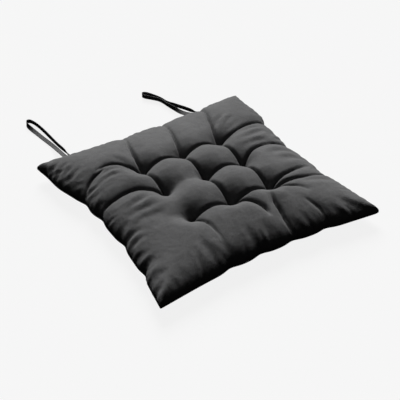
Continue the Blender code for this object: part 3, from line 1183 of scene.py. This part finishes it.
@dataclass
class Filling:
    """The fibre inside the panels, pinched through at each tuft."""

    shape: PadShape
    cells: int = 84
    closer: int = 4
    edge_crowding: float = 0.6
    row_crowding: float = 0.0
    clearance: float = 0.0014
    seam_gap: float = 0.0004
    inset: float = 0.972
    hole_radius: float = 0.0017
    fluff: float = 0.0012
    seed: int = 3

    def build(self, finish: bpy.types.Material) -> None:
        """Make the filling.

        Args:
            finish: Its fibre.
        """
        u, v = self.shape.grid(self.cells * self.closer, self.edge_crowding, self.row_crowding)
        bm = bmesh.new()
        sides = {side: self.add_side(bm, u, v, side) for side in Side}
        self.join(bm, [self.rim(verts) for verts in sides.values()])
        coarse_u, coarse_v = (part[:: self.closer, :: self.closer] for part in (u, v))
        for at in TUFTS.values():
            self.open_hole(bm, sides, coarse_u, coarse_v, at)
        bmesh.ops.recalc_face_normals(bm, faces=bm.faces)
        piece = add_piece("fibre_filling", bm, finish)
        stand_for(piece, PAD_BODY, "filling")

    def add_side(self, bm: bmesh.types.BMesh, u: Array, v: Array, side: Side) -> Array:
        """Add the filling's upper or lower face, always inside its panel.

        Args:
            bm: The filling's mesh in the making.
            u: Places across the pad, as a grid finer than the face.
            v: Places from front to back, as such a grid.
            side: Which face.

        Returns:
            Its vertices, as a grid.
        """
        x, y, z = self.shape.surface(u * self.inset, v * self.inset, side)
        reach = self.closer
        walls = np.pad(z * side.value, reach, mode="edge")
        n = z.shape[0]
        shifts = [(i, j) for i in range(2 * reach + 1) for j in range(2 * reach + 1)]
        lowest = np.min([walls[i : i + n, j : j + n] for i, j in shifts], axis=0)
        x, y, lowest = (part[::reach, ::reach] for part in (x, y, lowest))
        fluff = np.random.default_rng(self.seed).uniform(0, self.fluff, x.shape)
        least = side.value * self.shape.seam_z + self.seam_gap
        z = side.value * np.maximum(lowest - self.clearance - fluff, least)
        verts = np.empty(x.shape, object)
        for place in np.ndindex(x.shape):
            verts[place] = bm.verts.new((x[place], y[place], z[place]))
        for i in range(x.shape[0] - 1):
            for j in range(x.shape[0] - 1):
                bm.faces.new((verts[i, j], verts[i + 1, j], verts[i + 1, j + 1], verts[i, j + 1]))
        return verts

    def rim(self, verts: Array) -> list[bmesh.types.BMVert]:
        """List a side's outer vertices.

        Args:
            verts: The side's vertices, as a grid.

        Returns:
            Those of its border, in order.
        """
        last = verts.shape[0] - 1
        ring = [verts[i, 0] for i in range(last)]
        ring += [verts[last, j] for j in range(last)]
        ring += [verts[i, last] for i in range(last, 0, -1)]
        ring += [verts[0, j] for j in range(last, 0, -1)]
        return ring

    def join(self, bm: bmesh.types.BMesh, rings: list[list[bmesh.types.BMVert]]) -> None:
        """Close the space between two rings of the same count.

        Args:
            bm: The filling's mesh in the making.
            rings: The upper ring and the lower one.
        """
        upper, lower = rings
        for k in range(len(upper)):
            after = (k + 1) % len(upper)
            bm.faces.new((upper[k], upper[after], lower[after], lower[k]))

    def open_hole(
        self, bm: bmesh.types.BMesh, sides: dict[Side, Array], u: Array, v: Array, at: Point
    ) -> None:
        """Open a narrow hole for a tuft's thread, right through.

        Args:
            bm: The filling's mesh in the making.
            sides: The vertices of its two faces.
            u: Their places across the pad.
            v: Their places from front to back.
            at: The tuft's x and y.
        """
        x, y = self.shape.plan(u * self.inset, v * self.inset)
        i, j = np.unravel_index(np.argmin(np.hypot(x - at[0], y - at[1])), x.shape)
        steps = ((1, 0), (1, 1), (0, 1), (-1, 1), (-1, 0), (-1, -1), (0, -1), (1, -1))
        rings = []
        for verts in sides.values():
            foot = verts[i, j].co.z
            bm.verts.remove(verts[i, j])
            ring = [verts[i + a, j + b] for a, b in steps]
            for (a, b), vert in zip(steps, ring):
                way = Vector((a, b)).normalized() * self.hole_radius
                vert.co = (at[0] + way.x, at[1] + way.y, foot)
            rings.append(ring)
        self.join(bm, rings)


@dataclass
class TuftStitches:
    """The thread of each tuft: a twisted shank through the pad and a bar of strands at each end.

    The waist is the share of a bar's width that its strands keep at their ends,
    and what they gain halfway. A bar's lift and dip are in radii of a strand.
    """

    shape: PadShape
    strand: float = 0.00036
    bar_half: float = 0.0030
    bar_strands: int = 4
    bar_width: float = 0.0020
    bar_steps: int = 11
    bar_waist: tuple[float, float] = (0.55, 0.45)
    bar_lift: float = 1.2
    bar_dip: float = 3.0
    twist: float = 0.0045
    shank_steps: int = 24

    def build(self, finish: bpy.types.Material) -> None:
        """Make the nine tufts.

        Args:
            finish: The sewing thread.
        """
        rows = {-1: "front", 0: "middle", 1: "back"}
        columns = {-1: "left", 0: "centre", 1: "right"}
        for (column, row), at in TUFTS.items():
            name = f"{rows[row]}_{columns[column]}"
            top = self.shape.foot(at, Side.TOP) + self.strand
            bottom = self.shape.foot(at, Side.BOTTOM) - self.strand
            strands = self.shank(at, bottom, top) + self.bar(at, top, 1) + self.bar(at, bottom, -1)
            piece = add_thread("tuft_stitch_" + name, strands, self.strand, finish)
            stand_for(piece, PAD_BODY, "tuft_" + name)

    def shank(self, at: Point, low: float, high: float) -> list[Array]:
        """Twist two strands round each other.

        Args:
            at: The tuft's x and y.
            low: The height of their lower ends.
            high: The height of their upper ends.

        Returns:
            The strands' lines.
        """
        heights = np.linspace(low, high, self.shank_steps)
        strands = []
        for half_turn in (0.0, math.pi):
            turn = half_turn + 2 * math.pi * (heights - low) / self.twist
            x = at[0] + self.strand * np.cos(turn)
            y = at[1] + self.strand * np.sin(turn)
            strands.append(np.stack([x, y, heights], -1))
        return strands

    def bar(self, at: Point, z: float, way: int) -> list[Array]:
        """Lay strands side by side across the hole, arched in the middle and tucked in at the ends.

        Args:
            at: The tuft's x and y.
            z: The height that their middle lines start from.
            way: 1 for the top and -1 for the underside.

        Returns:
            The strands' lines.
        """
        narrow, swell = self.bar_waist
        s = np.linspace(-1, 1, self.bar_steps)
        strands = []
        for k in range(self.bar_strands):
            share = k / (self.bar_strands - 1) - 0.5
            x = at[0] + self.bar_half * s
            y = at[1] + self.bar_width * share * (narrow + swell * (1 - s**2))
            arch = self.strand * self.bar_lift * (1 - s**2)
            lift = way * (arch - self.strand * self.bar_dip * s**8)
            strands.append(np.stack([x, y, z + lift], -1))
        return strands


@dataclass
class SeamStitches:
    """The lockstitches round the edge, the slip stitches that close the back, and the bar tacks.

    Insets run inwards from the seam's line, reaches to either side of that place,
    and heights above and below the seam. A lockstitch's arch is in radii of its
    thread, and a slip stitch goes its turn times half a turn each way.
    """

    shape: PadShape
    thread: float = 0.00022
    slip_thread: float = 0.00029
    tack_thread: float = 0.00026
    pitch: float = 0.0032
    gap: float = 0.0005
    arch: float = 0.4
    stitch_points: int = 5
    inset: float = 0.0016
    edge_points: int = 400
    back_share: float = 0.8
    back_points: int = 801
    opening: float = 0.075
    slip_pitch: float = 0.0050
    slip_turn: float = 0.75
    slip_points: int = 13
    slip_inset: float = 0.0006
    slip_reach: float = 0.0012
    slip_height: float = 0.0017
    slip_slant: float = 0.0016
    tack_length: float = 0.0100
    tack_turns: int = 11
    tack_points: int = 12
    tack_inset: float = 0.0002
    tack_reach: float = 0.0012
    tack_height: float = 0.0019

    def edge_line(self) -> Array:
        """Walk once round the seam, counter-clockwise from the back's right corner.

        Returns:
            The walk's points, one to a row.
        """
        s = np.linspace(-1, 1, self.edge_points)
        one = np.ones_like(s)
        corners = ((-s, one), (-one, -s), (s, -one), (one, s))
        walk = [np.stack(self.shape.plan(u, v), -1)[:-1] for u, v in corners]
        return np.concatenate(walk)

    def at_length(self, line: Array, where: Array) -> Array:
        """Read places at lengths along a line.

        Args:
            line: The line's points, one to a row.
            where: The lengths.

        Returns:
            x and y at each.
        """
        run = np.concatenate([[0], np.cumsum(np.linalg.norm(np.diff(line, axis=0), axis=1))])
        return np.stack([np.interp(where, run, line[:, k]) for k in range(2)], -1)

    def build(self, finish: bpy.types.Material) -> None:
        """Make the three kinds of stitches.

        Args:
            finish: The sewing thread.
        """
        line = self.edge_line() * (1 - self.inset / self.shape.half)
        length = float(np.linalg.norm(np.diff(line, axis=0), axis=1).sum())
        lock = []
        for k in range(int(length / self.pitch)):
            ends = np.array([k * self.pitch, (k + 1) * self.pitch - self.gap])
            (ax, ay), (bx, by) = self.at_length(line, ends)
            if abs(ax) < self.opening and ay > self.shape.half * self.back_share:
                continue
            s = np.linspace(0, 1, self.stitch_points)
            z = self.shape.seam_z + self.thread * self.arch * np.sin(s * math.pi)
            lock.append(np.stack([ax + (bx - ax) * s, ay + (by - ay) * s, z], -1))
        count = int(2 * self.opening / self.slip_pitch)
        slip = [self.slip_stitch(-self.opening + self.slip_pitch * (k + 0.5)) for k in range(count)]
        piece = add_thread("edge_lockstitches", lock, self.thread, finish)
        stand_for(piece, PAD_BODY, "seam_thread")
        piece = add_thread("closing_slip_stitches", slip, self.slip_thread, finish)
        stand_for(piece, PAD_BODY, "closing_thread")
        for side, route in LOOP_ROUTES.items():
            piece = add_thread(f"bar_tack_{side}", [self.bar_tack(route)], self.tack_thread, finish)
            stand_for(piece, PAD_BODY, f"bartack_{side}")

    def back_edge(self, x: float) -> float:
        """Read the back seam at a place along it.

        Args:
            x: The place.

        Returns:
            The seam's y there.
        """
        u = np.linspace(-1, 1, self.back_points)
        line_x, line_y = self.shape.plan(u, np.ones_like(u))
        return float(np.interp(x, line_x, line_y))

    def slip_stitch(self, x: float) -> Array:
        """Wrap one slanted stitch over the two folded edges.

        Args:
            x: Its place along the back seam.

        Returns:
            The thread's line.
        """
        turn = np.linspace(-self.slip_turn * math.pi, self.slip_turn * math.pi, self.slip_points)
        y = self.back_edge(x) - self.slip_inset + self.slip_reach * np.cos(turn)
        z = self.shape.seam_z + self.slip_height * np.sin(turn)
        slant = x + self.slip_slant * turn / math.pi
        return np.stack([slant, y, z], -1)

    def bar_tack(self, route: Route) -> Array:
        """Wind a close zigzag over the tape's sewn ends.

        Args:
            route: The loop whose ends it locks.

        Returns:
            The thread's line.
        """
        middle = (route[0][0] + route[-1][0]) / 2
        turns = np.linspace(0, self.tack_turns * 2 * math.pi, self.tack_turns * self.tack_points)
        x = middle + self.tack_length * (turns / turns[-1] - 0.5)
        edge = np.array([self.back_edge(place) for place in x])
        y = edge - self.tack_inset + self.tack_reach * np.cos(turns)
        z = self.shape.seam_z + self.tack_height * np.sin(turns)
        return np.stack([x, y, z], -1)


# Routes of the tape loops, from one sewn end to the other: x, y, the clearance
# under the tape, and its lean in degrees. 0 lies flat and 90 stands on its edge.
LOOP_ROUTES: dict[str, Route] = {
    "left": (
        (-0.1432, 0.1955, 0.0163, 0),
        (-0.1430, 0.2080, 0.0146, 0),
        (-0.1420, 0.2240, 0.0110, 0),
        (-0.1403, 0.2460, 0.0056, 5),
        (-0.1398, 0.2670, 0.0018, 8),
        (-0.1411, 0.2850, 0.0004, 8),
        (-0.1432, 0.3010, 0.0002, 8),
        (-0.1453, 0.3170, 0.0002, 12),
        (-0.1480, 0.3320, 0.0002, 30),
        (-0.1498, 0.3440, 0.0002, 60),
        (-0.1490, 0.3530, 0.0002, 85),
        (-0.1450, 0.3585, 0.0002, 90),
        (-0.1402, 0.3565, 0.0002, 90),
        (-0.1368, 0.3480, 0.0002, 90),
        (-0.1347, 0.3355, 0.0002, 92),
        (-0.1334, 0.3200, 0.0002, 95),
        (-0.1328, 0.3050, 0.0002, 95),
        (-0.1324, 0.2890, 0.0002, 95),
        (-0.1322, 0.2740, 0.0004, 92),
        (-0.1323, 0.2580, 0.0018, 90),
        (-0.1330, 0.2410, 0.0050, 88),
        (-0.1346, 0.2230, 0.0096, 75),
        (-0.1362, 0.2080, 0.0148, 35),
        (-0.1376, 0.1955, 0.0180, 0),
    ),
    "right": (
        (0.1078, 0.1940, 0.0163, 0),
        (0.1060, 0.2020, 0.0148, 0),
        (0.1025, 0.2095, 0.0122, 10),
        (0.1002, 0.2170, 0.0090, 25),
        (0.0988, 0.2310, 0.0045, 45),
        (0.0976, 0.2470, 0.0018, 65),
        (0.0957, 0.2615, 0.0006, 80),
        (0.0940, 0.2727, 0.0002, 90),
        (0.0926, 0.2836, 0.0002, 90),
        (0.0900, 0.2920, 0.0002, 90),
        (0.0855, 0.2992, 0.0002, 90),
        (0.0793, 0.3074, 0.0002, 90),
        (0.0740, 0.3142, 0.0002, 90),
        (0.0720, 0.3212, 0.0002, 90),
        (0.0750, 0.3255, 0.0002, 90),
        (0.0798, 0.3235, 0.0002, 90),
        (0.0842, 0.3170, 0.0002, 90),
        (0.0887, 0.3075, 0.0002, 90),
        (0.0922, 0.2988, 0.0002, 90),
        (0.0950, 0.2895, 0.0002, 90),
        (0.0970, 0.2773, 0.0002, 90),
        (0.1000, 0.2676, 0.0008, 90),
        (0.1034, 0.2586, 0.0020, 88),
        (0.1069, 0.2464, 0.0037, 86),
        (0.1100, 0.2337, 0.0060, 85),
        (0.1128, 0.2155, 0.0098, 80),
        (0.1147, 0.2035, 0.0148, 35),
        (0.1152, 0.1940, 0.0180, 0),
    ),
}


@dataclass
class TieLoop:
    """A flat woven tape, doubled, that leaves the back seam and comes back to it."""

    side: str
    shape: PadShape
    width: float = 0.0080
    thick: float = 0.0008
    tuck: float = 0.0045
    steps: int = 6
    across: int = 8
    selvedge: float = 0.00012
    side_play: float = 0.0004
    bend_inside: float = 0.0025
    bend_outside: float = 0.0020

    @property
    def body(self) -> str:
        """Name the loop's body, which the log gives."""
        return f"tie_{self.side}"

    def route(self) -> Array:
        """Smooth the route, with both ends tucked into the seam.

        Returns:
            Rows of x, y, z and the tape's lean.
        """
        places = []
        for x, y, lift, lean in LOOP_ROUTES[self.side]:
            lean = math.radians(lean)
            half_high = self.width / 2 * abs(math.sin(lean)) + self.thick / 2 * abs(math.cos(lean))
            places.append((x, y, lift + half_high, lean))
        inside = [
            (end[0], end[1] - self.tuck, self.shape.seam_z + rise, 0.0)
            for end, rise in ((places[0], -self.thick / 2), (places[-1], self.thick / 2))
        ]
        return smooth_line((inside[0], *places, inside[1]), self.steps)

    def section(self) -> list[tuple[float, float, float]]:
        """Outline the tape's section, with its edges a little thicker.

        Returns:
            Points of share across, half thickness with its sign, and V.
        """
        shares = [k / self.across for k in range(self.across + 1)]
        firm = {0: self.selvedge, self.across: self.selvedge}
        upper = [(s, self.thick / 2 + firm.get(k, 0.0), s) for k, s in enumerate(shares)]
        return upper + [(s, -half, v) for s, half, v in reversed(upper)]

    def mesh(self, route: Array) -> bmesh.types.BMesh:
        """Sweep the section along the route.

        Args:
            route: Rows of x, y, z and lean.

        Returns:
            The tape's mesh.
        """
        bm = bmesh.new()
        uv_layer = bm.loops.layers.uv.new(TAPE_UV)
        ways = np.gradient(route[:, :3], axis=0)
        run = np.concatenate([[0], np.cumsum(np.linalg.norm(np.diff(route[:, :3], axis=0), axis=1))])
        section = self.section()
        rings, flat = [], {}
        for place, way, along in zip(route, ways, run):
            way = Vector(way).normalized()
            level = way.cross(Vector((0, 0, 1))).normalized()
            upright = level.cross(way)
            lean = place[3]
            wide = level * math.cos(lean) + upright * math.sin(lean)
            face = wide.cross(way)
            ring = []
            for share, half, v in section:
                aside = wide * (self.width - self.side_play) * (share - 0.5)
                vert = bm.verts.new(Vector(place[:3]) + aside + face * half)
                flat[vert] = (along, v)
                ring.append(vert)
            rings.append(ring)
        count = len(section)
        for here, after in zip(rings, rings[1:]):
            for k in range(count):
                bm.faces.new((here[k], after[k], after[(k + 1) % count], here[(k + 1) % count]))
        bm.faces.new(rings[0])
        bm.faces.new(rings[-1][::-1])
        bmesh.ops.recalc_face_normals(bm, faces=bm.faces)
        for face in bm.faces:
            for loop in face.loops:
                loop[uv_layer].uv = flat[loop.vert]
        return bm

    def build(self, finish: bpy.types.Material) -> None:
        """Args:
            finish: The woven tape.
        """
        route = self.route()
        piece = add_piece(f"tape_loop_{self.side}", self.mesh(route), finish)
        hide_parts(f"tie_loop_{self.side}")
        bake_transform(piece)
        length = float(np.linalg.norm(np.diff(route[:, :3], axis=0), axis=1).sum())
        log.info("%s on %s, %.0f mm of tape", piece.name, self.body, length * 1000)


def main() -> None:
    """Build the studio, then the loops, the covers, the filling and the stitches."""
    logging.basicConfig(level=logging.INFO, format="%(name)s: %(message)s")
    Studio().build()
    shape = PadShape()
    tape, thread = WovenTape().material(), SewingThread().material()
    for side in LOOP_ROUTES:
        TieLoop(side, shape).build(tape)
    Covers(shape).build(PlainWeave().material())
    Filling(shape).build(PolyesterFibre().material())
    TuftStitches(shape).build(thread)
    SeamStitches(shape).build(thread)


if __name__ == "__main__":
    main()
